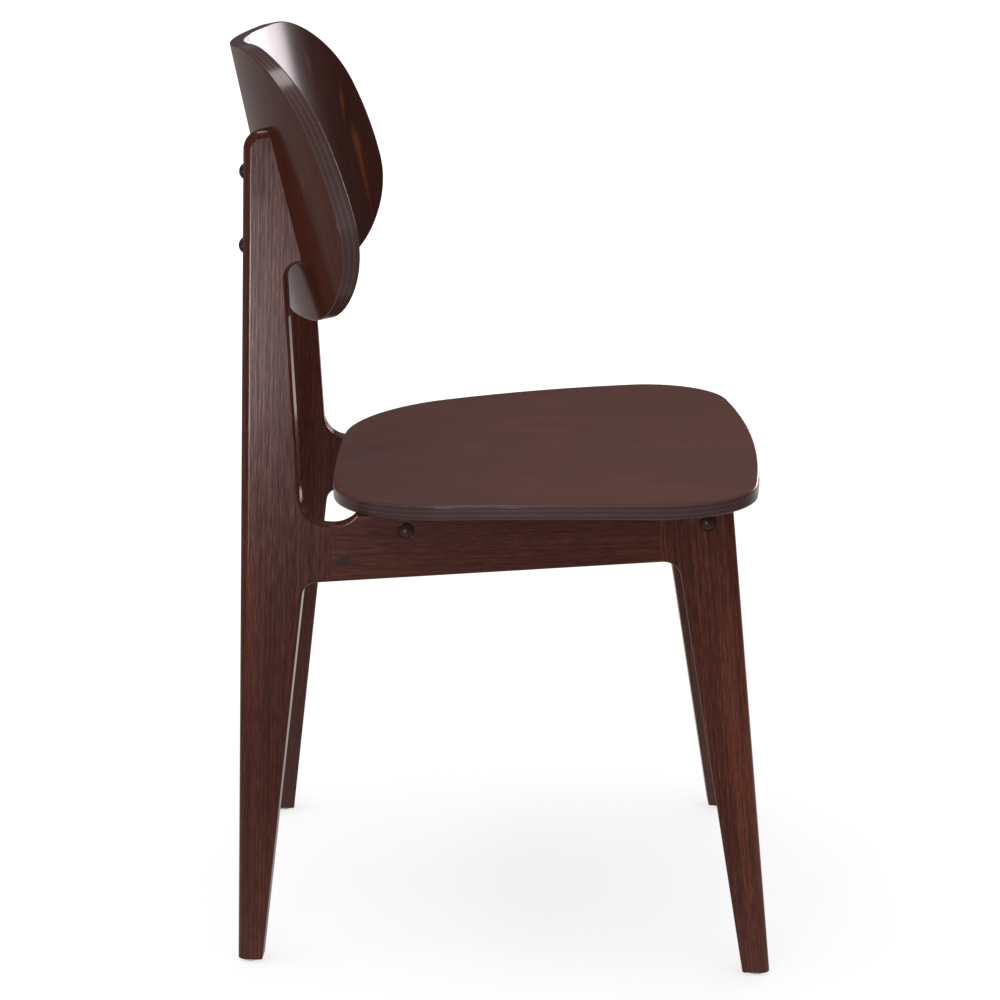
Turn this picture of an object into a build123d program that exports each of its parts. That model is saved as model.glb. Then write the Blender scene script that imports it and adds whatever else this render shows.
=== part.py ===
from build123d import *
import os
from math import cos, radians, sin, sqrt, tan

# Dining chair of stained beech with a moulded plywood seat and backrest.
# Millimetres and degrees, +Z up, front towards -Y, the sitter's right towards -X.
# A side frame is drawn on its own board, as forward and up along the outer face.

# Side frames: flat boards that toe in towards the back and splay out towards the floor
board_thickness = 22.0
floor_half_width = 209.0
floor_depth = 485.5
toe_angle = 2.4
splay_angle = 3.7
small_round = 2.5
back_round = 8
front_round = 8.5

# Rear leg and upright
rear_foot_depth = 22.3
rear_edge_lean = 0.7
rear_leg_rake = 6.2
upright_depth = 54.4
upright_lean = 3.45
upright_top = 756.0
upright_top_round = 18.0
shoulder_height = 641.0
shoulder_depth = 16.1
shoulder_round = 13.5
shoulder_set_in = 0.8
notch_depth = 9.1
notch_round = 25.0
notch_length = 38.0
notch_ramp_angle = 45.0
notch_ramp_round = 28.0

# Front leg
front_foot_depth = 24.6
front_edge_rake = 6.0
front_leg_rake = 10.0

# Side rail, measured down from the plane that touches the crown of the seat's underside
rail_depth_rear = 62.4
rail_depth_front = 53.9
rear_corner_round = 13.0
front_corner_round = 16.0
rear_ear = 27.0
front_ear = 17.0

# Seat
seat_thickness = 13.6
seat_mid_height = 441.5
seat_tilt = 3.25
seat_rear_half_width = 188.3
seat_front_half_width = 248.3
seat_rear_reach = 153.5
seat_front_reach = 207.5
seat_rear_bow = 8.0
seat_side_bow = 11.0
seat_front_bow = 25.0
seat_rear_corner = 124.0
seat_front_corner = 85.0
seat_crown_radius = 4000.0
seat_crown_ahead = 30.0
seat_edge_round = 2.0

# Backrest
backrest_thickness = 13.0
backrest_radius = 368.0
backrest_lean = 12.1
backrest_drop = 52.5
backrest_height = 241.5
backrest_bottom_half_width = 222.5
backrest_top_half_width = 180.0
backrest_side_bow = 27.0
backrest_bottom_corner = 82.0
backrest_top_corner = 112.0
backrest_edge_round = 1.2

# Cross rails
cross_rail_thickness = 24.0
cross_rail_height = 44.0
cross_rail_round = 2.0
rear_cross_rail_from_joint = 65.8
front_cross_rail_from_joint = 41.5

# Dowels
dowel_diameter = 8.0
dowel_chamfer = 1.0
dowel_fit = 0.15
rail_dowel_length = 36.0
rail_dowel_spacing = 24.0
cross_rail_dowel_length = 30.0
cross_rail_dowel_in_board = 12.0
cross_rail_dowel_below_bolt = 16.0

# Bolts, barrel nuts, inserts and caps
bolt_diameter = 6.0
bolt_clearance = 0.3
bolt_head_diameter = 10.0
bolt_head_height = 4.5
bolt_head_recess = 8.0
bolt_recess_clearance = 0.4
hex_key = 4.0
hex_key_depth = 2.5
thread_fit = 0.1
rear_bolt_below_seat = 17.4
front_bolt_below_seat = 20.0
frame_bolt_tip = 6.0
barrel_nut_diameter = 10.0
barrel_nut_length = 18.0
barrel_nut_inset = 30.0
cap_diameter = 14.0
cap_height = 4.0
cap_rim_depth = 1.2
cap_rim_clearance = 0.8
cap_stem_length = 2.0
insert_diameter = 9.0
insert_length = 7.0
insert_inset = 2.6
backrest_bolt_low = 14.0
backrest_bolt_spacing = 64.0

# Seat screws
screw_diameter = 4.5
screw_head_diameter = 9.0
screw_head_height = 3.0
screw_recess = 14.0
screw_in_seat = 8.0
screw_half_spacing = 100.0

# Glides and their nails
glide_diameter = 16.0
glide_height = 3.0
glide_round = 0.8
nail_diameter = 2.4
nail_head_diameter = 6.0
nail_head_height = 1.0
nail_recess = 1.5
nail_length = 18.0

# Reach of the blocks that trim a piece to its neighbour
trim_reach = 1200.0
trim_margin = 20.0

FROM_FACE = (Align.CENTER, Align.CENTER, Align.MAX)
ON_FACE = (Align.CENTER, Align.CENTER, Align.MIN)


# Frames of reference

toe = radians(toe_angle)
splay = radians(splay_angle)
board_forward = Vector(-sin(toe), -cos(toe), 0)
board_outward = Vector(-cos(toe) * cos(splay), sin(toe) * cos(splay), sin(splay))
board = Plane(origin=(-floor_half_width, 0, 0), x_dir=board_forward, z_dir=board_outward)

seat_slope = radians(seat_tilt)
seat_forward = Vector(0, -cos(seat_slope), sin(seat_slope))
seat_normal = Vector(0, sin(seat_slope), cos(seat_slope))
seat_top = Plane(origin=(0, 0, seat_mid_height), x_dir=seat_forward, z_dir=seat_normal)
seat_under = seat_top.offset(-seat_thickness)


def below_seat_face(depth):
    """Everything below the seat's crowned face that lies a depth under its top."""
    barrel = Rot(90, 0, 0) * Cylinder(seat_crown_radius - depth, trim_reach)
    return seat_top.location * Pos(seat_crown_ahead, 0, -seat_crown_radius) * barrel


def under_seat(forward):
    """Height on a board's outer face at which the plane under the seat crosses it."""
    start = board.from_local_coords((forward, 0, 0))
    rise = (seat_under.origin - start).dot(seat_under.z_dir)
    return rise / board.y_dir.dot(seat_under.z_dir)


# Side frame outline

rear_foot_back = -floor_depth / 2
front_foot_front = floor_depth / 2
foot_extra = 6.0


def rear_edge(up):
    return rear_foot_back + up * tan(radians(rear_edge_lean))


def rear_leg_front_edge(up):
    return rear_foot_back + rear_foot_depth + up * tan(radians(rear_leg_rake))


def front_leg_back_edge(up):
    return front_foot_front - front_foot_depth - up * tan(radians(front_leg_rake))


def front_leg_front_edge(up):
    return front_foot_front - up * tan(radians(front_edge_rake))


def meet(edge, depth):
    """Point of a leg's edge that lies a depth below the plane under the seat."""
    up = under_seat(0) - depth
    for _ in range(6):
        up = under_seat(edge(up)) - depth
    return edge(up), up


rear_corner = meet(rear_leg_front_edge, rail_depth_rear)
front_corner = meet(front_leg_back_edge, rail_depth_front)
upright_foot = meet(lambda up: rear_edge(up) + upright_depth, notch_depth)
notch_front = (upright_foot[0] + notch_length, upright_foot[1])


def upright_front_edge(up):
    return upright_foot[0] - (up - upright_foot[1]) * tan(radians(upright_lean))


shoulder_front = upright_front_edge(shoulder_height) + shoulder_depth
board_top = under_seat(front_leg_front_edge(under_seat(0))) + trim_margin
ramp_run = (board_top - notch_front[1]) / tan(radians(notch_ramp_angle))

side_corners = [
    ((rear_edge(-foot_extra), -foot_extra), 0),
    ((rear_leg_front_edge(-foot_extra), -foot_extra), 0),
    (rear_corner, rear_corner_round),
    (front_corner, front_corner_round),
    ((front_leg_back_edge(-foot_extra), -foot_extra), 0),
    ((front_leg_front_edge(-foot_extra), -foot_extra), 0),
    ((front_leg_front_edge(board_top), board_top), 0),
    ((notch_front[0] + ramp_run, board_top), 0),
    (notch_front, notch_ramp_round),
    (upright_foot, notch_round),
    ((upright_front_edge(shoulder_height), shoulder_height), shoulder_round),
    ((shoulder_front, shoulder_height), 0),
    ((shoulder_front, upright_top), 0),
    ((rear_edge(upright_top), upright_top), upright_top_round),
]


def rounded_polygon(corners):
    """Flat face through corners, each with its own radius."""
    face = Sketch() + make_face(Polyline(*[point for point, _ in corners], close=True))
    for point, radius in corners:
        if radius:
            face = fillet(face.vertices().sort_by_distance(Vertex(*point, 0))[0], radius)
    return face


def soften(solid, point, radius):
    """Solid with the edge nearest to a point, and all that runs on from it, rounded."""
    return fillet(solid.edges().sort_by_distance(Vertex(*point))[0], radius)


# Backrest placement: its back face meets the upright's outer face at the shoulder

lean = radians(backrest_lean)
backrest_up = Vector(0, sin(lean), cos(lean))
backrest_forward = Vector(0, -cos(lean), sin(lean))
backrest_back_radius = backrest_radius + backrest_thickness
shoulder_touch = board.from_local_coords(
    (shoulder_front - shoulder_set_in, shoulder_height, 0)
)
touch_sagitta = backrest_back_radius - sqrt(backrest_back_radius**2 - shoulder_touch.X**2)
touch_centre = Vector(0, shoulder_touch.Y, shoulder_touch.Z)
backrest_foot = touch_centre - backrest_forward * touch_sagitta - backrest_up * backrest_drop
backrest_axis = Plane(
    origin=backrest_foot + backrest_forward * backrest_back_radius,
    x_dir=(1, 0, 0),
    z_dir=backrest_up,
)
backrest_face = Plane(origin=backrest_foot, x_dir=(1, 0, 0), z_dir=backrest_forward)


def reach_backrest(point, direction):
    """Distance from a point behind the backrest to its back face, along a direction."""
    offset = point - backrest_axis.origin
    offset = offset - backrest_up * offset.dot(backrest_up)
    across = direction - backrest_up * direction.dot(backrest_up)
    half = offset.dot(across)
    rest = offset.dot(offset) - backrest_back_radius**2
    square = across.dot(across)
    return (-half - sqrt(half**2 - square * rest)) / square


def backrest_front_block():
    """Everything in front of the backrest's back face, over the backrest's height."""
    block = Cylinder(backrest_back_radius, backrest_height + 2 * trim_margin, align=ON_FACE)
    return backrest_axis * Pos(0, 0, -trim_margin) * block


# Places of the hardware on the right-hand frame

rear_joint = upright_foot[0] + rear_ear
front_joint = front_corner[0] - front_ear
frame_bolt_forward = [
    rear_joint + rear_cross_rail_from_joint,
    front_joint + front_cross_rail_from_joint,
]
frame_bolt_drop = [rear_bolt_below_seat, front_bolt_below_seat]
frame_bolt_places = [
    board.location * Pos(forward, under_seat(forward) - drop, 0)
    for forward, drop in zip(frame_bolt_forward, frame_bolt_drop)
]
frame_dowel_places = [place * Pos(0, -cross_rail_dowel_below_bolt, 0) for place in frame_bolt_places]
backrest_bolt_low_up = shoulder_height + backrest_bolt_low
backrest_bolt_places = [
    board.location
    * Pos(rear_edge(up), up, -board_thickness / 2)
    * Rot(0, 0, -rear_edge_lean)
    * Rot(0, -90, 0)
    for up in (backrest_bolt_low_up, backrest_bolt_low_up + backrest_bolt_spacing)
]


def rail_bottom(forward):
    share = (forward - rear_corner[0]) / (front_corner[0] - rear_corner[0])
    return rear_corner[1] + share * (front_corner[1] - rear_corner[1])


def rail_dowel_places():
    places = []
    for joint, top in ((rear_joint, notch_front[1]), (front_joint, under_seat(front_joint))):
        middle = (rail_bottom(joint) + top) / 2
        for up in (middle - rail_dowel_spacing / 2, middle + rail_dowel_spacing / 2):
            place = Pos(joint, up, -board_thickness / 2) * Rot(0, 90, 0)
            places.append(board.location * place)
    return places


def foot_places():
    """Middle of each foot's sole on the right-hand side, rear then front."""
    sole_up = glide_height / cos(splay)
    rear = (rear_edge(sole_up) + rear_leg_front_edge(sole_up)) / 2
    front = (front_leg_back_edge(sole_up) + front_leg_front_edge(sole_up)) / 2
    middles = [board.from_local_coords((at, sole_up, -board_thickness / 2)) for at in (rear, front)]
    return [Pos(middle.X, middle.Y, glide_height) for middle in middles]


def seat_screw_places():
    """Seats of the screw heads in the cross rails, rear pair first."""
    places = []
    for place in frame_bolt_places:
        entry = (place * Pos(0, 0, -board_thickness)).position
        across = seat_under.to_local_coords(entry).X
        for side in (-screw_half_spacing, screw_half_spacing):
            drop = screw_recess - cross_rail_height
            places.append(seat_under.location * Pos(across, side, drop))
    return places


def barrel_nut_place(bolt_place):
    """Barrel nut across a cross rail, on the axis of its bolt."""
    return bolt_place * Pos(0, 0, -board_thickness - barrel_nut_inset) * Rot(0, 90, 0)


# Hardware, each modelled once about its own axis with the joint face at zero


def dowel(length):
    return chamfer(Cylinder(dowel_diameter / 2, length).edges().filter_by(GeomType.CIRCLE), dowel_chamfer)


def bolt(length):
    """Socket-head bolt that points down, with its head's seat at zero."""
    head = Cylinder(bolt_head_diameter / 2, bolt_head_height, align=ON_FACE)
    shank = Cylinder(bolt_diameter / 2, length, align=FROM_FACE)
    key = RegularPolygon(hex_key / 2, 6, major_radius=False)
    socket = extrude(Pos(0, 0, bolt_head_height) * key, -hex_key_depth)
    return head + shank - socket


def cap():
    """Domed cap over a bolt's recess, with a rim let into the wood and a short stem."""
    ball_radius = ((cap_diameter / 2) ** 2 + cap_height**2) / (2 * cap_height)
    ball = Pos(0, 0, cap_height - ball_radius) * Sphere(ball_radius)
    dome = ball & Cylinder(cap_diameter, cap_height, align=ON_FACE)
    rim = Cylinder(cap_diameter / 2, cap_rim_depth, align=FROM_FACE)
    stem = Cylinder(bolt_head_diameter / 2, cap_rim_depth + cap_stem_length, align=FROM_FACE)
    return dome + rim + stem


def bolt_passage(length):
    """Bore, head recess and shallow cap recess for a bolt whose face is at zero."""
    rim = Cylinder(cap_diameter / 2 + cap_rim_clearance, 2 * cap_rim_depth)
    recess = Cylinder(bolt_head_diameter / 2 + bolt_recess_clearance, bolt_head_recess, align=FROM_FACE)
    bore = Cylinder(bolt_diameter / 2 + bolt_clearance, length, align=FROM_FACE)
    return rim + recess + bore


def barrel_nut():
    body = Cylinder(barrel_nut_diameter / 2, barrel_nut_length)
    thread = Rot(0, 90, 0) * Cylinder(bolt_diameter / 2 + thread_fit, 2 * barrel_nut_diameter)
    return body - thread


def insert():
    """Threaded bush that starts at zero and points down."""
    body = Cylinder(insert_diameter / 2, insert_length, align=FROM_FACE)
    thread = Cylinder(bolt_diameter / 2 + thread_fit, insert_length, align=FROM_FACE)
    return body - thread


def seat_screw():
    """Pan-head screw that points up, with its head's seat at zero."""
    head = Cylinder(screw_head_diameter / 2, screw_head_height, align=FROM_FACE)
    shank = Cylinder(screw_diameter / 2, seat_screw_length, align=ON_FACE)
    return head + shank


def glide():
    disc = Cylinder(glide_diameter / 2, glide_height, align=FROM_FACE)
    disc = fillet(disc.edges().group_by(Axis.Z)[0], glide_round)
    hole = Cylinder(nail_diameter / 2 + dowel_fit, glide_height, align=FROM_FACE)
    recess = Cylinder(nail_head_diameter / 2 + dowel_fit, nail_recess, align=ON_FACE)
    return disc - hole - Pos(0, 0, -glide_height) * recess


def glide_nail():
    head_seat = -glide_height + nail_recess
    head = Pos(0, 0, head_seat) * Cylinder(nail_head_diameter / 2, nail_head_height, align=FROM_FACE)
    shank = Pos(0, 0, head_seat) * Cylinder(nail_diameter / 2, nail_length, align=ON_FACE)
    return head + shank


def frame_dowel_socket():
    """Socket of a locating dowel, across the joint at zero."""
    length = cross_rail_dowel_length
    socket = Cylinder(dowel_diameter / 2 + dowel_fit, length)
    return Pos(0, 0, cross_rail_dowel_in_board - length / 2) * socket


def barrel_nut_socket():
    """Blind hole for a barrel nut, open towards one face of its rail."""
    spare = (cross_rail_thickness - barrel_nut_length) / 2
    hole = Cylinder(barrel_nut_diameter / 2 + dowel_fit, barrel_nut_length + 2 * spare, align=FROM_FACE)
    return Pos(0, 0, barrel_nut_length / 2 + dowel_fit) * hole


# Lengths that follow from the joints

seat_screw_length = cross_rail_height - screw_recess + screw_in_seat

frame_bolt_length = board_thickness - bolt_head_recess + barrel_nut_inset + frame_bolt_tip
frame_bolt_bore = bolt_head_recess + frame_bolt_length + bolt_clearance
bolt_reaches = [
    reach_backrest(place.position, Axis(place).direction * -1) for place in backrest_bolt_places
]


# Wooden pieces of the right-hand side


def side_board():
    """One side frame before it is cut into legs and rail, trimmed to what it meets."""
    solid = extrude(rounded_polygon(side_corners), -board_thickness)
    to_board = board.location.inverse()
    leg_up = under_seat(0) / 2
    upright_up = (shoulder_height + upright_foot[1]) / 2
    inside = -board_thickness
    for face in (0, inside):
        solid = soften(solid, (rear_leg_front_edge(leg_up), leg_up, face), small_round)
        solid = soften(solid, (upright_front_edge(upright_up), upright_up, face), small_round)
    solid -= to_board * backrest_front_block()
    solid = soften(solid, (rear_edge(leg_up), leg_up, 0), back_round)
    solid = soften(solid, (rear_edge(leg_up), leg_up, inside), small_round)
    solid = soften(solid, (front_leg_front_edge(leg_up), leg_up, 0), front_round)
    solid = soften(solid, (front_leg_front_edge(leg_up), leg_up, inside), small_round)
    over_rail = Box(trim_reach, trim_reach, trim_reach, align=(Align.MIN, Align.CENTER, Align.MIN))
    under_floor = Box(trim_reach, trim_reach, trim_reach, align=FROM_FACE)
    notch_middle = (upright_foot[0] + notch_front[0]) / 2
    solid = board.location * solid
    over_rail = seat_under.location * Pos(notch_middle, 0, -trim_margin) * over_rail
    solid -= over_rail - below_seat_face(seat_thickness)
    solid -= Pos(0, 0, glide_height) * under_floor
    return solid


def right_side():
    """Rear leg, side rail and front leg of the right-hand frame."""
    whole = side_board()
    for place in frame_bolt_places:
        whole -= place * bolt_passage(board_thickness + trim_margin)
    for place in frame_dowel_places:
        whole -= place * Pos(0, 0, -board_thickness) * frame_dowel_socket()
    for place, reach in zip(backrest_bolt_places, bolt_reaches):
        whole -= place * bolt_passage(reach + trim_margin)
    for place in rail_dowel_places():
        whole -= place * Cylinder(dowel_diameter / 2 + dowel_fit, rail_dowel_length)
    for place in foot_places():
        whole -= place * Cylinder(nail_diameter / 2 + dowel_fit, nail_length, align=ON_FACE)
    behind = Box(trim_reach, 2 * trim_reach, trim_reach, align=(Align.MAX, Align.CENTER, Align.CENTER))
    ahead = Box(trim_reach, 2 * trim_reach, trim_reach, align=(Align.MIN, Align.CENTER, Align.CENTER))
    behind = board.location * Pos(rear_joint, 0, 0) * behind
    ahead = board.location * Pos(front_joint, 0, 0) * ahead
    return whole & behind, whole - behind - ahead, whole & ahead


def cross_rail(index):
    """Rail between the two frames, with its top face shaped to the seat's underside."""
    entry = (frame_bolt_places[index] * Pos(0, 0, -board_thickness)).position
    across = seat_under.to_local_coords(entry).X
    bar = Box(cross_rail_thickness, trim_reach, cross_rail_height, align=FROM_FACE)
    bar = fillet(bar.edges().filter_by(Axis.Y).group_by(Axis.Z)[0], cross_rail_round)
    bar = seat_under.location * Pos(across, 0, 0) * bar & below_seat_face(seat_thickness)
    outside = Box(trim_reach, 2 * trim_reach, trim_reach, align=ON_FACE)
    outside = board.location * Pos(0, 0, -board_thickness) * outside
    cuts = [
        outside,
        frame_bolt_places[index] * Cylinder(bolt_diameter / 2 + bolt_clearance, frame_bolt_bore * 2),
        frame_dowel_places[index] * Pos(0, 0, -board_thickness) * frame_dowel_socket(),
        barrel_nut_place(frame_bolt_places[index]) * barrel_nut_socket(),
    ]
    for cut in cuts:
        bar -= cut
        bar -= mirror(cut, about=Plane.YZ)
    for place in seat_screw_places()[2 * index : 2 * index + 2]:
        recess = Cylinder(screw_head_diameter / 2 + bolt_recess_clearance, trim_margin, align=FROM_FACE)
        passage = Cylinder(screw_diameter / 2 + bolt_clearance, cross_rail_height, align=ON_FACE)
        bar -= place * (recess + passage)
    return bar


# Plywood panels


def panel_outline(low_end, high_end, bows, radii):
    """Four bowed sides with rounded corners, from two ends given as (along, half width)."""
    low_right = (low_end[0], -low_end[1])
    high_right = (high_end[0], -high_end[1])
    high_left = (high_end[0], high_end[1])
    low_left = (low_end[0], low_end[1])
    low_bow, side_bow, high_bow = bows
    sides = [
        bowed(low_left, low_right, low_bow),
        bowed(low_right, high_right, side_bow),
        bowed(high_right, high_left, high_bow),
        bowed(high_left, low_left, side_bow),
    ]
    outline = Sketch() + make_face(sides)
    for point, radius in zip((low_left, low_right, high_right, high_left), radii):
        corner = outline.vertices().sort_by_distance(Vertex(*point, 0))[0]
        outline = fillet(corner, radius)
    return outline


def bowed(start, end, bow):
    """Side of an outline that runs anticlockwise and bows outwards, straight if the bow is zero."""
    return SagittaArc(start, end, -bow) if bow else Line(start, end)


def seat_panel():
    """Moulded plywood seat with a slight crown from front to back."""
    outline = panel_outline(
        (-seat_rear_reach, seat_rear_half_width),
        (seat_front_reach, seat_front_half_width),
        (seat_rear_bow, seat_side_bow, seat_front_bow),
        (seat_rear_corner, seat_rear_corner, seat_front_corner, seat_front_corner),
    )
    prism = seat_top.location * extrude(Pos(0, 0, -2 * seat_thickness) * outline, 3 * seat_thickness)
    panel = (prism & below_seat_face(0)) - below_seat_face(seat_thickness)
    rear_end = -seat_rear_reach - seat_rear_bow
    for height in (seat_thickness, -2 * seat_thickness):
        beyond = seat_top.from_local_coords((rear_end, 0, height))
        panel = soften(panel, tuple(beyond), seat_edge_round)
    for place in seat_screw_places():
        panel -= place * Cylinder(screw_diameter / 2 + thread_fit, seat_screw_length, align=ON_FACE)
    return panel


def backrest_panel():
    """Moulded plywood backrest: a leaning slice of a tube, cut to a rounded outline."""
    outline = panel_outline(
        (0, backrest_bottom_half_width),
        (backrest_height, backrest_top_half_width),
        (0, backrest_side_bow, 0),
        (backrest_bottom_corner, backrest_bottom_corner, backrest_top_corner, backrest_top_corner),
    )
    prism = extrude(Rot(0, 0, 90) * outline, backrest_radius / 2 + backrest_thickness)
    height = backrest_height + 2 * trim_margin
    tube = Cylinder(backrest_back_radius, height) - Cylinder(backrest_radius, height)
    tube = backrest_axis.location * Pos(0, 0, backrest_height / 2) * tube
    panel = (backrest_face.location * Pos(0, 0, -backrest_thickness) * prism) & tube
    for depth in (0, backrest_thickness):
        panel = soften(panel, tuple(backrest_foot + backrest_forward * depth), backrest_edge_round)
    for place, reach in zip(backrest_bolt_places, bolt_reaches):
        depth = reach + insert_inset + insert_length
        bore = place * Cylinder(insert_diameter / 2 + dowel_fit, depth, align=FROM_FACE)
        panel -= bore
        panel -= mirror(bore, about=Plane.YZ)
    return panel


def group(pieces):
    """Separate pieces held together as one node."""
    return Compound([solid for piece in pieces for solid in piece.solids()])


def both_sides(pieces):
    """Right-hand pieces with their mirrored copies, as one node."""
    return group([*pieces, *[mirror(piece, about=Plane.YZ) for piece in pieces]])


# Assembly


def chair():
    rear_leg, side_rail, front_leg = right_side()
    right_pieces = {"rear_leg": rear_leg, "side_rail": side_rail, "front_leg": front_leg}
    nodes = {"seat_panel": seat_panel(), "backrest_panel": backrest_panel()}
    for name, piece in right_pieces.items():
        nodes[name + "_right"] = piece
        nodes[name + "_left"] = mirror(piece, about=Plane.YZ)
    nodes["rear_cross_rail"] = cross_rail(0)
    nodes["front_cross_rail"] = cross_rail(1)
    frame_dowel_seat = Pos(0, 0, -board_thickness + cross_rail_dowel_in_board - cross_rail_dowel_length / 2)
    head_seat = Pos(0, 0, -bolt_head_recess)
    groups = {
        "rail_dowels": [place * dowel(rail_dowel_length) for place in rail_dowel_places()],
        "cross_rail_dowels": [
            place * frame_dowel_seat * dowel(cross_rail_dowel_length) for place in frame_dowel_places
        ],
        "frame_bolts": [place * head_seat * bolt(frame_bolt_length) for place in frame_bolt_places],
        "frame_bolt_caps": [place * cap() for place in frame_bolt_places],
        "barrel_nuts": [barrel_nut_place(place) * barrel_nut() for place in frame_bolt_places],
        "backrest_bolts": [
            place * head_seat * bolt(reach - bolt_head_recess + insert_inset + insert_length - thread_fit)
            for place, reach in zip(backrest_bolt_places, bolt_reaches)
        ],
        "backrest_inserts": [
            place * Pos(0, 0, -reach - insert_inset) * insert()
            for place, reach in zip(backrest_bolt_places, bolt_reaches)
        ],
        "backrest_bolt_caps": [place * cap() for place in backrest_bolt_places],
        "glides": [place * glide() for place in foot_places()],
        "glide_nails": [place * glide_nail() for place in foot_places()],
    }
    for name, pieces in groups.items():
        nodes[name] = both_sides(pieces)
    nodes["seat_screws"] = group([place * seat_screw() for place in seat_screw_places()])
    return nodes


def centred(nodes):
    """The chair moved so that its box stands centred on the origin."""
    box = group(nodes.values()).bounding_box()
    middle = box.center()
    return {name: Pos(-middle.X, -middle.Y, -box.min.Z) * node for name, node in nodes.items()}


if __name__ == "__main__":
    os.makedirs("parts", exist_ok=True)
    for name, node in centred(chair()).items():
        export_step(node, f"parts/{name}.step")
        print(name, len(node.solids()), round(node.volume))
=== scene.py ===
# %% [markdown]
# A dining chair in stained beech.
# The chair was drawn as exact solids: two side frames of solid beech, two cross rails, a moulded plywood
# seat and a curved moulded plywood backrest, with its dowels, bolts, caps and glides. Their shapes are
# already right, so this lesson keeps them and gives them what a solid lacks: stain, grain, plies,
# lacquer, light and a camera. Modelling the pieces again would only copy them less exactly.

# %% Load the solids
import math

import bpy
from mathutils import Matrix, Vector


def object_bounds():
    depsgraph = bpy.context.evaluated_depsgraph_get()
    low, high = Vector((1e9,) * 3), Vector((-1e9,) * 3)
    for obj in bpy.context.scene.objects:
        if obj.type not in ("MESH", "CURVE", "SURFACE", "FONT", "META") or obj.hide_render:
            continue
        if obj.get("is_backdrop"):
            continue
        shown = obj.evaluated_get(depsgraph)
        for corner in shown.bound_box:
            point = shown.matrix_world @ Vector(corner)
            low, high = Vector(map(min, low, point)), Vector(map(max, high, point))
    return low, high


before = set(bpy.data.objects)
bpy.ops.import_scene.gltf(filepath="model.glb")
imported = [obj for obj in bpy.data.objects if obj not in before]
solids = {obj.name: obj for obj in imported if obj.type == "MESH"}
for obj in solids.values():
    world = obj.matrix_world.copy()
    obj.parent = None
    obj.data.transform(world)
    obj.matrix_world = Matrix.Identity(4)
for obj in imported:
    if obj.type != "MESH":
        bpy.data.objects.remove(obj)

cad_low, cad_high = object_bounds()
chair_size = [round((high - low) * 1000) for low, high in zip(cad_low, cad_high)]
print(f"{len(solids)} solids, {chair_size[0]} x {chair_size[1]} x {chair_size[2]} mm")

# %% [markdown]
# The picture was taken from the sitter's right, square to the side, a little above the backrest and far
# enough away for a long lens. A camera could be aimed by eye, but its place, turn, tilt and roll were
# measured from the chair's own outline, so the numbers are set as they are. The roll is about half a
# degree.

# %% Camera
scene = bpy.context.scene
camera_place = (-2.44574, 0.0059, 1.03433)
camera_turn = math.radians(-90.1211)
camera_tilt = math.radians(90 - 14.8298)
camera_roll = math.radians(0.5664)
bpy.ops.object.camera_add()
camera = bpy.context.object
camera.name = "side_camera"
camera.matrix_world = (
    Matrix.Translation(camera_place)
    @ Matrix.Rotation(camera_turn, 4, "Z")
    @ Matrix.Rotation(camera_tilt, 4, "X")
    @ Matrix.Rotation(camera_roll, 4, "Z")
)
camera.data.sensor_width = 36
camera.data.lens = 95.94
scene.camera = camera
print(f"camera {-camera_place[0]:.2f} m from the chair's middle, {camera.data.lens} mm lens")

# %% [markdown]
# Every finish below is a small tree of nodes. Nodes could be added by hand one at a time, which takes
# four lines each. One function does all of it: it makes the node, sets its properties, and fills or
# links its inputs, so that a finish reads like a recipe. A second one turns the hex colours of a
# paint chart, which are sRGB, into the linear values that the shader counts in.

# %% Helpers for node trees
def add_node(tree, kind, inputs=None, ramp=None, **settings):
    """Adds one node, sets its properties, and fills or links its inputs."""
    made = tree.nodes.new(kind)
    for name, value in settings.items():
        setattr(made, name, value)
    for name, value in (inputs or {}).items():
        if isinstance(value, bpy.types.NodeSocket):
            tree.links.new(value, made.inputs[name])
        else:
            made.inputs[name].default_value = value
    # A new ramp already has two stops, so its first two shades are its two ends.
    for number, (place, shade) in enumerate(ramp or []):
        stops = made.color_ramp.elements
        stop = stops[number] if number < 2 else stops.new(place)
        stop.position = place
        stop.color = colour(shade)
    return made


def colour(hex_value):
    """An sRGB hex value as a linear colour with full alpha, by the curve of the sRGB standard."""
    shares = [int(hex_value[place:place + 2], 16) / 255 for place in (1, 3, 5)]
    linear = [
        share / 12.92 if share <= 0.04045 else ((share + 0.055) / 1.055) ** 2.4
        for share in shares
    ]
    return (*linear, 1)


def new_finish(name):
    """A material with no nodes yet, and its tree."""
    finish = bpy.data.materials.new(name)
    finish.use_nodes = True
    finish.node_tree.nodes.clear()
    return finish, finish.node_tree


print("walnut stain in linear values:", [round(share, 4) for share in colour("#44221a")[:3]])

# %% [markdown]
# The surround is white behind the chair. A white backdrop could be lit until it burns out, but that
# light would spill on the chair. Here the surround is white only to the camera and to rays through
# glass. It also gives soft light from all round, at about half that strength. Gloss sees a twentieth
# of it, because the lacquer of this chair mirrors a dim room.

# %% Surround
scene.view_settings.view_transform = "Standard"
room_light = 0.55
room_gloss = 0.05


def seen_straight(tree):
    """The kinds of ray, and a number that is 1 for the camera's rays and for rays through glass."""
    rays = add_node(tree, "ShaderNodeLightPath").outputs
    straight = add_node(tree, "ShaderNodeMath", {
        0: rays["Is Camera Ray"], 1: rays["Is Transmission Ray"],
    }, operation="MAXIMUM")
    return rays, straight.outputs[0]


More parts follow.
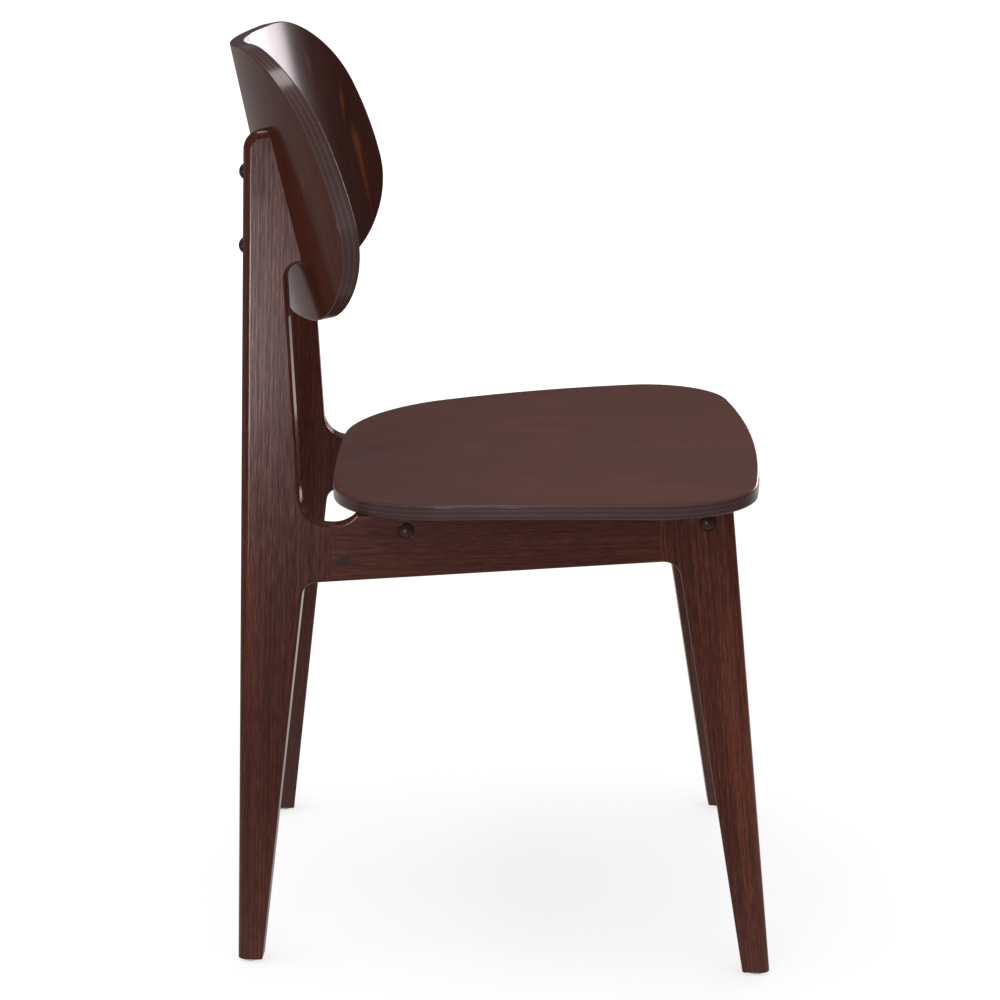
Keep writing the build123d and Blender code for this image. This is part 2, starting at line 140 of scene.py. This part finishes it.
studio = bpy.data.worlds.new("white_surround")
scene.world = studio
studio.use_nodes = True
tree = studio.node_tree
tree.nodes.clear()
rays, straight = seen_straight(tree)
lit = add_node(tree, "ShaderNodeMath", {
    0: rays["Is Diffuse Ray"], 1: room_light, 2: straight,
}, operation="MULTIPLY_ADD")
strength = add_node(tree, "ShaderNodeMath", {
    0: rays["Is Glossy Ray"], 1: room_gloss, 2: lit.outputs[0],
}, operation="MULTIPLY_ADD")
surround = add_node(tree, "ShaderNodeBackground", {
    "Color": colour("#ffffff"), "Strength": strength.outputs[0],
})
add_node(tree, "ShaderNodeOutputWorld", {"Surface": surround.outputs[0]})
print(studio.name, "lights at", room_light, "and mirrors at", room_gloss)

# %% [markdown]
# The floor is a sheet of pale matt paper, far wider than the view. Lamps alone could not make it as
# white as the surround without flooding the chair, so it also glows to the camera, and its grey keeps
# the chair's shadow. The lacquer mirrors a dimmer floor: it brightens beyond and behind the chair, with
# a bright pool beyond the chair and a faint one on the camera's side.

# %% Floor
floor_width = 60
paper_grey = "#959595"
bpy.ops.object.select_all(action="DESELECT")
bpy.ops.mesh.primitive_plane_add(size=floor_width)
floor = bpy.context.object
floor.name = "studio_floor"
floor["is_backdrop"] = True
paper, tree = new_finish("matt_paper_sweep")
rays, straight = seen_straight(tree)
floor_place = add_node(tree, "ShaderNodeTexCoord").outputs["Object"]

# The lamps reach less of the floor further off, so the glow grows with the distance in metres.
glow_from, glow_to = 0.6, 2.4
glow_near, glow_far = 0.72, 1.0
away = add_node(tree, "ShaderNodeVectorMath", {0: floor_place}, operation="LENGTH")
lift = add_node(tree, "ShaderNodeMapRange", {
    "Value": away.outputs["Value"],
    "From Min": glow_from, "From Max": glow_to, "To Min": glow_near, "To Max": glow_far,
})
white = add_node(tree, "ShaderNodeMath", {0: straight, 1: lift.outputs[0]}, operation="MULTIPLY")
glow = add_node(tree, "ShaderNodeEmission", {"Color": colour("#ffffff"), "Strength": white.outputs[0]})
matt = add_node(tree, "ShaderNodeBsdfDiffuse", {"Color": colour(paper_grey)})
pale = add_node(tree, "ShaderNodeAddShader", {0: matt.outputs[0], 1: glow.outputs[0]})

# The floor in the lacquer: a slope of brightness, and pools with a centre, two radii and a level.
mirrored_shade = "#fff1ef"
beyond_and_behind = (0.5, 0.5, 0)
slope_from, slope_to = -0.5, 2.5
slope_dim, slope_bright = 0.04, 0.29
pools = [
    ((1.4, -0.4, 0), 0.5, 2.4, 0.62),
    ((-1.5, -0.5, 0), 1.0, 3.0, 0.13),
]
along_slope = add_node(tree, "ShaderNodeVectorMath", {
    0: floor_place, 1: beyond_and_behind,
}, operation="DOT_PRODUCT")
mirrored_floor = add_node(tree, "ShaderNodeMapRange", {
    "Value": along_slope.outputs["Value"],
    "From Min": slope_from, "From Max": slope_to, "To Min": slope_dim, "To Max": slope_bright,
}).outputs[0]
for centre, inner, outer, level in pools:
    spot = add_node(tree, "ShaderNodeMapping", {
        "Vector": floor_place, "Location": centre,
    }, vector_type="TEXTURE")
    ring = add_node(tree, "ShaderNodeVectorMath", {0: spot.outputs[0]}, operation="LENGTH")
    pool = add_node(tree, "ShaderNodeMapRange", {
        "Value": ring.outputs["Value"],
        "From Min": inner, "From Max": outer, "To Min": level, "To Max": 0.0,
    }, interpolation_type="SMOOTHSTEP")
    mirrored_floor = add_node(tree, "ShaderNodeMath", {
        0: mirrored_floor, 1: pool.outputs[0],
    }, operation="ADD").outputs[0]
mirror_glow = add_node(tree, "ShaderNodeEmission", {
    "Color": colour(mirrored_shade), "Strength": mirrored_floor,
})
paper_face = add_node(tree, "ShaderNodeMixShader", {
    0: rays["Is Glossy Ray"], 1: pale.outputs[0], 2: mirror_glow.outputs[0],
})
add_node(tree, "ShaderNodeOutputMaterial", {"Surface": paper_face.outputs[0]})
floor.data.materials.append(paper)
print("floor", floor.dimensions[0], "m wide")

# %% [markdown]
# Soft boxes shape the chair. One lamp would leave the far parts black, so there are eight. One hangs
# overhead for the seat. A dim panel and a bright narrow strip stand low beside the camera, and their
# sheen fades down the near upright. A wide box beyond the chair draws the white patch inside the
# backrest, and a dim sheet there gives the seat its sheen. Three broad fills lift the shade without a
# reflection of their own. All have a faintly rosy filter. Each is given by how bright its face is, and
# the watts follow from its area.

# %% Soft boxes
filter_shade = "#fff5fa"
# A lamp face of one square metre has a brightness of 1 at this many watts.
watts_per_square_metre = 4


def soft_box(name, place, aim, wide, high, brightness, mirrored=True):
    """An area lamp of that size that faces the point it is aimed at."""
    bpy.ops.object.light_add(type="AREA", location=place)
    box = bpy.context.object
    box.name = name
    box.data.shape = "RECTANGLE"
    box.data.size = wide
    box.data.size_y = high
    box.data.energy = brightness * watts_per_square_metre * wide * high
    box.data.color = colour(filter_shade)[:3]
    box.visible_camera = False
    box.visible_glossy = mirrored
    towards = Vector(aim) - Vector(place)
    box.rotation_euler = towards.to_track_quat("-Z", "Y").to_euler()
    return box


near_upright = (-0.16, 0.21, 0.5)
# Each lamp's name, place, aim, width, height and brightness.
boxes = [
    soft_box("top_box", (-0.07, 0.76, 2.6), (0, 0.1, 0.5), 0.7, 0.7, 4.2),
    soft_box("side_panel", (-3.0, 0.70, 0.40), near_upright, 0.42, 0.40, 0.75),
    soft_box("side_strip", (-3.0, 1.08, 0.42), near_upright, 0.33, 0.66, 19.0),
    soft_box("rim_box", (5.2, -2.92, 1.11), (0.1, 0.21, 0.8), 3.1, 1.1, 4.7),
    soft_box("seat_sheen", (4.5, 0, 2.2), (0, 0, 0.45), 5.0, 1.6, 0.08),
    soft_box("roof_fill", (0, 0, 2.8), (0, 0, 0), 2.6, 2.6, 1.5, mirrored=False),
    soft_box("near_fill", (-3.6, 0.3, 0.9), (0, 0, 0.4), 3.0, 2.0, 1.5, mirrored=False),
    soft_box("far_fill", (3.6, 0.4, 1.3), (0, 0, 0.5), 3.0, 2.4, 1.2, mirrored=False),
]
print([box.name for box in boxes])

# %% [markdown]
# The wood is beech under a dark walnut stain and a satin lacquer. Beech has no bold figure: it shows
# long fine lines, and short flecks where the rays of the tree are cut, which take the stain lighter and
# redder. A picture of wood could be wrapped round each board, but its ends would give it away. A pattern
# that fills space works on every face: each layer is noise stretched along the grain, so sides show
# streaks and ends show dots. A Mapping node of the Texture kind divides by its scale, so that its scale
# is simply the size of one mark in metres. A knot or a streak of its own is a stretched ball.

# %% Grain, marks and lacquer
stain_shades = [(0.20, "#301612"), (0.86, "#6b3a29"), (0.47, "#44221a"), (0.62, "#532b1f")]
lacquer_ior = 1.5
# Most of a noise lies between these two values.
noise_low, noise_high = 0.3, 0.7
# A mark is a ball of radius 1 that noise frays, and it fades from its core to its edge.
mark_fray = 0.9
mark_core, mark_edge = 0.5, 1.45


def grain_layers(tree, place, sizes, grain, turn, ripple):
    """Noise stretched along the grain, one layer for each name with its width, length and detail."""
    layers = {}
    for layer, (across, along, detail) in sizes.items():
        size = [along if axis == grain else across for axis in "XYZ"]
        lay = add_node(tree, "ShaderNodeMapping", {
            "Vector": place, "Rotation": turn, "Scale": size,
        }, vector_type="TEXTURE")
        layers[layer] = add_node(tree, "ShaderNodeTexNoise", {
            "Vector": lay.outputs[0], "Scale": 1.0,
            "Detail": detail, "Roughness": 0.6, "Distortion": ripple,
        }).outputs[0]
    return layers


def blended(tree, layers, weights, lighter):
    """The sum of the layers, each with its weight, as one tone near a half, or lighter than that."""
    tone = (1 - sum(weights.values())) / 2 + lighter
    for layer, weight in weights.items():
        tone = add_node(tree, "ShaderNodeMath", {
            0: layers[layer], 1: weight, 2: tone,
        }, operation="MULTIPLY_ADD").outputs[0]
    return tone


def with_marks(tree, place, wood, marks):
    """The wood's colour with knots or streaks, each with its centre, turn, size, shade and strength."""
    for centre, turn, size, shade, strength in marks:
        ball = add_node(tree, "ShaderNodeMapping", {
            "Vector": place, "Location": centre, "Rotation": turn, "Scale": size,
        }, vector_type="TEXTURE")
        ripple = add_node(tree, "ShaderNodeTexNoise", {
            "Vector": ball.outputs[0], "Scale": 1.3, "Detail": 3.0,
        })
        away = add_node(tree, "ShaderNodeVectorMath", {0: ball.outputs[0]}, operation="LENGTH")
        ragged = add_node(tree, "ShaderNodeMath", {
            0: ripple.outputs[0], 1: mark_fray, 2: away.outputs["Value"],
        }, operation="MULTIPLY_ADD")
        share = add_node(tree, "ShaderNodeMapRange", {
            "Value": ragged.outputs[0],
            "From Min": mark_core, "From Max": mark_edge, "To Min": strength, "To Max": 0.0,
        }, interpolation_type="SMOOTHSTEP")
        wood = add_node(tree, "ShaderNodeMix", {
            0: share.outputs[0], 6: wood, 7: colour(shade),
        }, data_type="RGBA").outputs[2]
    return wood


def satin_lacquer(tree, wood, uneven, sheens, lines, raised, height):
    """Lacquer over the wood. One layer varies its roughness, and the lines stand up a little."""
    sheen = add_node(tree, "ShaderNodeMapRange", {
        "Value": uneven,
        "From Min": noise_low, "From Max": noise_high, "To Min": sheens[0], "To Max": sheens[1],
    })
    relief = add_node(tree, "ShaderNodeBump", {"Height": lines, "Strength": raised, "Distance": height})
    lacquer = add_node(tree, "ShaderNodeBsdfPrincipled", {
        "Base Color": wood, "Roughness": sheen.outputs[0], "IOR": lacquer_ior, "Normal": relief.outputs[0],
    })
    add_node(tree, "ShaderNodeOutputMaterial", {"Surface": lacquer.outputs[0]})


def wear(finish, *names):
    """Puts one finish on the solids of those names."""
    for name in names:
        solids[name].data.materials.clear()
        solids[name].data.materials.append(finish)
    print(finish.name, "on", ", ".join(names))


print("stain in", len(stain_shades), "shades, lacquer with an IOR of", lacquer_ior)

# %% [markdown]
# The frame is sawn from solid beech. One finish could dress all its boards, but the grain of a real board
# runs along it, and each takes the stain in its own way. So each board of the side frames gets its own
# copy, turned along the board. The side frames lean outwards and toe in, and the grain follows, or its
# streaks would be cut short where they leave the face. The legs of the left frame, on the far side, are
# made a little darker, as painted shade.

# %% Stained beech frame
dark_pore = "#2a1512"
pore_from, pore_full, pore_strength = 0.62, 0.74, 0.5
# One mark's width, length and detail. Real pores are finer than a pixel, so they are drawn coarser.
beech_marks = {
    "cloud": (0.030, 0.300, 1),
    "line": (0.0024, 0.300, 2),
    "fleck": (0.0010, 0.0160, 1),
    "pore": (0.0007, 0.0060, 0),
}
beech_weights = {"cloud": 0.5, "line": 0.65, "fleck": 0.7}


def stained_beech(name, grain, turn, bold, lighter, ripple=0.1, marks=()):
    """Solid beech, planed, stained and lacquered. Gives fine lines and flecks with a soft sheen."""
    finish, tree = new_finish(name)
    place = add_node(tree, "ShaderNodeTexCoord").outputs["Object"]
    layers = grain_layers(tree, place, beech_marks, grain, turn, ripple)
    weights = {layer: weight * bold for layer, weight in beech_weights.items()}
    tone = blended(tree, layers, weights, lighter)
    stain = add_node(tree, "ShaderNodeValToRGB", {"Fac": tone}, ramp=stain_shades)
    pores = add_node(tree, "ShaderNodeMapRange", {
        "Value": layers["pore"], "From Min": pore_from, "From Max": pore_full, "To Max": pore_strength,
    })
    wood = add_node(tree, "ShaderNodeMix", {
        0: pores.outputs[0], 6: stain.outputs[0], 7: colour(dark_pore),
    }, data_type="RGBA").outputs[2]
    wood = with_marks(tree, place, wood, marks)
    satin_lacquer(tree, wood, layers["fleck"], (0.13, 0.19), layers["line"], raised=0.2, height=0.0002)
    return finish


splay = math.radians(3.7)
toe = math.radians(2.4)
rear_leg_slant = math.radians(1.5)
front_leg_slant = math.radians(-6)
rail_slope = math.radians(-3)
# The knot is on the right rail, far from where the left one is.
rail_knot = ((-0.1786, 0.1387, 0.3759), (0, 0, 0), (0.014, 0.013, 0.008), "#242222", 0.9)
# The left frame stands on the far side, so its two legs get a little painted shade.
for side, lean, toe_in, painted_shade in (("right", splay, -toe, 0.0), ("left", -splay, toe, 0.03)):
    wear(stained_beech(
        "stained_beech_rear_leg_" + side, "Z", (rear_leg_slant, lean, 0),
        bold=0.9, lighter=-0.03 - painted_shade,
    ), "rear_leg_" + side)
    wear(stained_beech(
        "stained_beech_front_leg_" + side, "Z", (front_leg_slant, lean, 0),
        bold=1.1, lighter=0.07 - painted_shade,
    ), "front_leg_" + side)
    wear(stained_beech(
        "stained_beech_side_rail_" + side, "Y", (rail_slope, 0, toe_in),
        bold=0.7, lighter=0.0, ripple=0.4, marks=[rail_knot],
    ), "side_rail_" + side)
wear(stained_beech(
    "stained_beech_cross_rails", "X", (0, 0, 0), bold=0.8, lighter=0.0,
), "front_cross_rail", "rear_cross_rail")

# %% [markdown]
# Seat and backrest are moulded plywood: thin beech veneers glued crosswise and pressed in a curved mould,
# then stained and lacquered with the frame. The faces show one veneer, even and smooth with a few red
# streaks. The rim shows the plies, because cross plies end there and drink more stain. The plies could
# be modelled as sheets, but they are one solid piece in life, so the finish counts them: the distance
# from the mould's own axis says how deep a point lies, and so which ply it is in.

# %% Moulded plywood
ply_count = 7
# Shares of a ply: what sanding takes from a face, and the glue line with the end of its soft edge.
face_ply_sanded = 0.1
glue_line, glue_edge = 0.04, 0.12
glue_shade, glue_strength = "#2a1a17", 0.5
# Rim ply colours: the plies' own brown, with the grey of a painted sheen mixed in.
long_ply_with_sheen, cross_ply_with_sheen = "#4c3a38", "#423230"
red_heart = "#74361f"
red_from, red_full, red_strength = 0.70, 0.84, 0.6
# Painted shade for the hollow side of a panel, where less light falls: its colour and strength.
painted_hollow_shade, painted_hollow_shade_strength = "#27100b", 0.45
# By how far the surface faces along the spoke, it is all rim up to the first share and all face from
# the second.
all_rim, all_face = 0.8, 0.96
# One mark's width, length and detail along the face grain.
veneer_marks = {
    "cloud": (0.060, 0.200, 2),
    "line": (0.0026, 0.150, 2),
    "streak": (0.0045, 0.090, 3),
}
veneer_weights = {"cloud": 0.3, "line": 0.42}


def mould_depth(tree, spoke, inner_radius, thickness):
    """How many plies deep a point lies, counted from the hollow side of the curve."""
    radius = add_node(tree, "ShaderNodeVectorMath", {0: spoke}, operation="LENGTH")
    # Sanding thins the face veneers, so the count starts and ends a little inside a ply.
    return add_node(tree, "ShaderNodeMapRange", {
        "Value": radius.outputs["Value"],
        "From Min": inner_radius, "From Max": inner_radius + thickness,
        "To Min": face_ply_sanded, "To Max": ply_count - face_ply_sanded,
    }, clamp=False).outputs[0]


def face_veneer(tree, depth, layers, lighter):
    """The stained face with its red streaks. The first ply, on the hollow side, gets painted shade."""
    tone = blended(tree, layers, veneer_weights, lighter)
    veneer = add_node(tree, "ShaderNodeValToRGB", {"Fac": tone}, ramp=stain_shades)
    red = add_node(tree, "ShaderNodeMapRange", {
        "Value": layers["streak"], "From Min": red_from, "From Max": red_full, "To Max": red_strength,
    })
    streaked = add_node(tree, "ShaderNodeMix", {
        0: red.outputs[0], 6: veneer.outputs[0], 7: colour(red_heart),
    }, data_type="RGBA")
    # The hollow side is darkened as painted shade.
    hollow_side = add_node(tree, "ShaderNodeMath", {0: depth, 1: 1.0}, operation="LESS_THAN")
    painted_shade = add_node(tree, "ShaderNodeMath", {
        0: hollow_side.outputs[0], 1: painted_hollow_shade_strength,
    }, operation="MULTIPLY")
    return add_node(tree, "ShaderNodeMix", {
        0: painted_shade.outputs[0], 6: streaked.outputs[2], 7: colour(painted_hollow_shade),
    }, data_type="RGBA").outputs[2]


def ply_ends(tree, depth):
    """The rim's plies, greyed as painted sheen: every second one is a cross ply, with dark glue between.
    """
    ply = add_node(tree, "ShaderNodeMath", {0: depth}, operation="FLOOR")
    cross = add_node(tree, "ShaderNodeMath", {0: ply.outputs[0], 1: 2.0}, operation="FLOORED_MODULO")
    seam = add_node(tree, "ShaderNodeMath", {0: depth, 1: 0.5}, operation="PINGPONG")
    glue = add_node(tree, "ShaderNodeMapRange", {
        "Value": seam.outputs[0],
        "From Min": glue_line, "From Max": glue_edge, "To Min": glue_strength, "To Max": 0.0,
    })
    ends = add_node(tree, "ShaderNodeMix", {
        0: cross.outputs[0], 6: colour(long_ply_with_sheen), 7: colour(cross_ply_with_sheen),
    }, data_type="RGBA")
    return add_node(tree, "ShaderNodeMix", {
        0: glue.outputs[0], 6: ends.outputs[2], 7: colour(glue_shade),
    }, data_type="RGBA").outputs[2]


def rim_share(tree, spoke, axis_turn):
    """1 where the surface looks along the plies, 0 where it looks along the spoke from the axis."""
    normal = add_node(tree, "ShaderNodeNewGeometry").outputs["Normal"]
    turned = add_node(tree, "ShaderNodeMapping", {
        "Vector": normal, "Rotation": (-axis_turn, 0, 0),
    }, vector_type="VECTOR")
    outward = add_node(tree, "ShaderNodeVectorMath", {0: spoke}, operation="NORMALIZE")
    facing = add_node(tree, "ShaderNodeVectorMath", {
        0: turned.outputs[0], 1: outward.outputs[0],
    }, operation="DOT_PRODUCT")
    flatness = add_node(tree, "ShaderNodeMath", {0: facing.outputs["Value"]}, operation="ABSOLUTE")
    return add_node(tree, "ShaderNodeMapRange", {
        "Value": flatness.outputs[0],
        "From Min": all_rim, "From Max": all_face, "To Min": 1.0, "To Max": 0.0,
    }).outputs[0]


def moulded_plywood(name, axis, axis_turn, inner_radius, thickness, flatten, grain, turn, lighter, marks):
    """Beech plywood, pressed, stained and lacquered. Gives an even satin face and a lined rim.

    The mould's frame is turned about X, and flatten drops the direction of its axis.
    """
    finish, tree = new_finish(name)
    place = add_node(tree, "ShaderNodeTexCoord").outputs["Object"]
    mould = add_node(tree, "ShaderNodeMapping", {
        "Vector": place, "Location": axis, "Rotation": (axis_turn, 0, 0),
    }, vector_type="TEXTURE").outputs[0]
    spoke = add_node(tree, "ShaderNodeVectorMath", {
        0: mould, 1: flatten,
    }, operation="MULTIPLY").outputs[0]
    depth = mould_depth(tree, spoke, inner_radius, thickness)
    layers = grain_layers(tree, mould, veneer_marks, grain, turn, ripple=0.0)
    face = with_marks(tree, place, face_veneer(tree, depth, layers, lighter), marks)
    wood = add_node(tree, "ShaderNodeMix", {
        0: rim_share(tree, spoke, axis_turn), 6: face, 7: ply_ends(tree, depth),
    }, data_type="RGBA").outputs[2]
    satin_lacquer(tree, wood, layers["cloud"], (0.17, 0.21), layers["line"], raised=0.12, height=0.00015)
    return finish


print(ply_count, "plies between sanded faces")

# %% [markdown]
# The two panels differ in their mould. The seat is pressed over a wide, shallow crown whose axis lies
# across the chair, far below it. The backrest bends round an upright axis that leans back with it. Both
# have a few red streaks where the photograph shows them. More noise could give such streaks, but not in
# chosen places, so each is listed.

# %% Seat and backrest
seat_tilt = math.radians(3.25)
seat_middle = (0, -0.00554, 0.4415)
seat_thickness = 0.0136
crown_radius = 4.0
crown_ahead = 0.03
crown_axis = (
    0,
    seat_middle[1] - crown_ahead * math.cos(seat_tilt) - crown_radius * math.sin(seat_tilt),
    seat_middle[2] + crown_ahead * math.sin(seat_tilt) - crown_radius * math.cos(seat_tilt),
)
seat_streaks = [
    ((-0.033, 0.099, 0.433), (0, 0, 0.05), (0.0016, 0.022, 0.02), red_heart, 0.7),
    ((-0.012, 0.116, 0.432), (0, 0, 0.0), (0.0018, 0.014, 0.02), red_heart, 0.6),
    ((0.005, 0.024, 0.439), (0, 0, -0.04), (0.0016, 0.034, 0.02), red_heart, 0.5),
    ((0.099, -0.060, 0.444), (0, 0, 0.03), (0.0020, 0.030, 0.02), red_heart, 0.6),
    ((-0.066, -0.183, 0.449), (0, 0, 0.02), (0.0016, 0.018, 0.02), red_heart, 0.5),
]
# The seat's face is made a little lighter, as painted sheen.
wear(moulded_plywood(
    "moulded_plywood_seat", crown_axis, axis_turn=0,
    inner_radius=crown_radius - seat_thickness, thickness=seat_thickness, flatten=(0, 1, 1),
    grain="Y", turn=(0, 0, math.radians(2)), lighter=0.05, marks=seat_streaks,
), "seat_panel")

back_lean = math.radians(12.1)
back_axis = (0, -0.17449, 0.66081)
backrest_streaks = [
    ((0.2046, 0.146, 0.698), (-back_lean, 0, 0), (0.0075, 0.02, 0.026), "#7e3d1f", 0.55),
    ((0.2052, 0.139, 0.668), (-back_lean, 0, 0), (0.0042, 0.02, 0.052), "#7a3a1c", 0.55),
    ((0.1970, 0.160, 0.738), (-back_lean, 0.15, 0), (0.0040, 0.02, 0.026), red_heart, 0.6),
    ((0.1597, 0.190, 0.780), (-back_lean, 0, 0), (0.0030, 0.02, 0.018), red_heart, 0.6),
    ((-0.197, 0.172, 0.716), (-back_lean, 0, 0), (0.0030, 0.02, 0.012), red_heart, 0.6),
]
wear(moulded_plywood(
    "moulded_plywood_backrest", back_axis, axis_turn=-back_lean,
    inner_radius=0.368, thickness=0.013, flatten=(1, 1, 0),
    grain="Z", turn=(0, math.radians(4), 0), lighter=0.0, marks=backrest_streaks,
), "backrest_panel")

# %% [markdown]
# The small parts: moulded plastic caps over the bolt heads, nylon glides under the feet, and the hardware
# that hides in the joints. One flat colour each would do at this size, but a mould leaves a fine
# frosting, a dip in zinc leaves pale patches, and a cut dowel keeps its grain, so each gets its own
# pattern. The frosting is finer than a pixel, so it is drawn coarser, a little over a millimetre wide.

# %% Small parts
def fine_patterned(name, marks, shades, sheens, depth, metallic=0.0):
    """A finish whose colour, gloss and relief follow one fine noise of that mark size in metres."""
    finish, tree = new_finish(name)
    place = add_node(tree, "ShaderNodeTexCoord").outputs["Object"]
    lay = add_node(tree, "ShaderNodeMapping", {
        "Vector": place, "Scale": marks,
    }, vector_type="TEXTURE")
    grit = add_node(tree, "ShaderNodeTexNoise", {
        "Vector": lay.outputs[0], "Scale": 1.0, "Detail": 3.0,
    }).outputs[0]
    shade = add_node(tree, "ShaderNodeValToRGB", {"Fac": grit}, ramp=[
        (noise_low, shades[0]), (noise_high, shades[1]),
    ])
    sheen = add_node(tree, "ShaderNodeMapRange", {
        "Value": grit,
        "From Min": noise_low, "From Max": noise_high, "To Min": sheens[0], "To Max": sheens[1],
    })
    relief = add_node(tree, "ShaderNodeBump", {"Height": grit, "Strength": 0.3, "Distance": depth})
    body = add_node(tree, "ShaderNodeBsdfPrincipled", {
        "Base Color": shade.outputs[0], "Roughness": sheen.outputs[0], "Metallic": metallic,
        "Normal": relief.outputs[0],
    })
    add_node(tree, "ShaderNodeOutputMaterial", {"Surface": body.outputs[0]})
    return finish


# Moulded polyethylene, spark-eroded mould: dark brown with a soft, slightly frosted shine.
wear(fine_patterned(
    "moulded_cap_plastic", marks=(0.0012, 0.0012, 0.0012),
    shades=("#2f1c18", "#3c2520"), sheens=(0.24, 0.32), depth=0.0001,
), "frame_bolt_caps", "backrest_bolt_caps")
# Moulded nylon: milky white and dull where it rubs the floor.
wear(fine_patterned(
    "moulded_glide_nylon", marks=(0.0015, 0.0015, 0.0015),
    shades=("#d2cec6", "#e4e1da"), sheens=(0.42, 0.6), depth=0.0001,
), "glides")
# Zinc-plated steel: bluish grey metal with pale patches from the plating bath.
wear(fine_patterned(
    "zinc_plated_steel", marks=(0.002, 0.002, 0.002),
    shades=("#9a9fa6", "#c3c7cb"), sheens=(0.28, 0.45), depth=0.00005, metallic=1.0,
), "frame_bolts", "barrel_nuts", "backrest_bolts", "backrest_inserts", "seat_screws", "glide_nails")
# Turned beech, left raw: straw colour with fine lines.
wear(fine_patterned(
    "turned_raw_beech", marks=(0.0015, 0.02, 0.0015),
    shades=("#b98f66", "#d3ae84"), sheens=(0.5, 0.65), depth=0.0001,
), "rail_dowels", "cross_rail_dowels")

# %% [markdown]
# Nothing was moved or rebuilt, so the dressed chair must fill the same box as the solids. Both boxes
# are printed side by side.

seen_low, seen_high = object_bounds()
sizes = {"cad": [list(cad_low), list(cad_high)], "visual": [list(seen_low), list(seen_high)]}
corners = [[round(share, 4) for share in corner] for pair in sizes.values() for corner in pair]
print("box before and after:", corners)
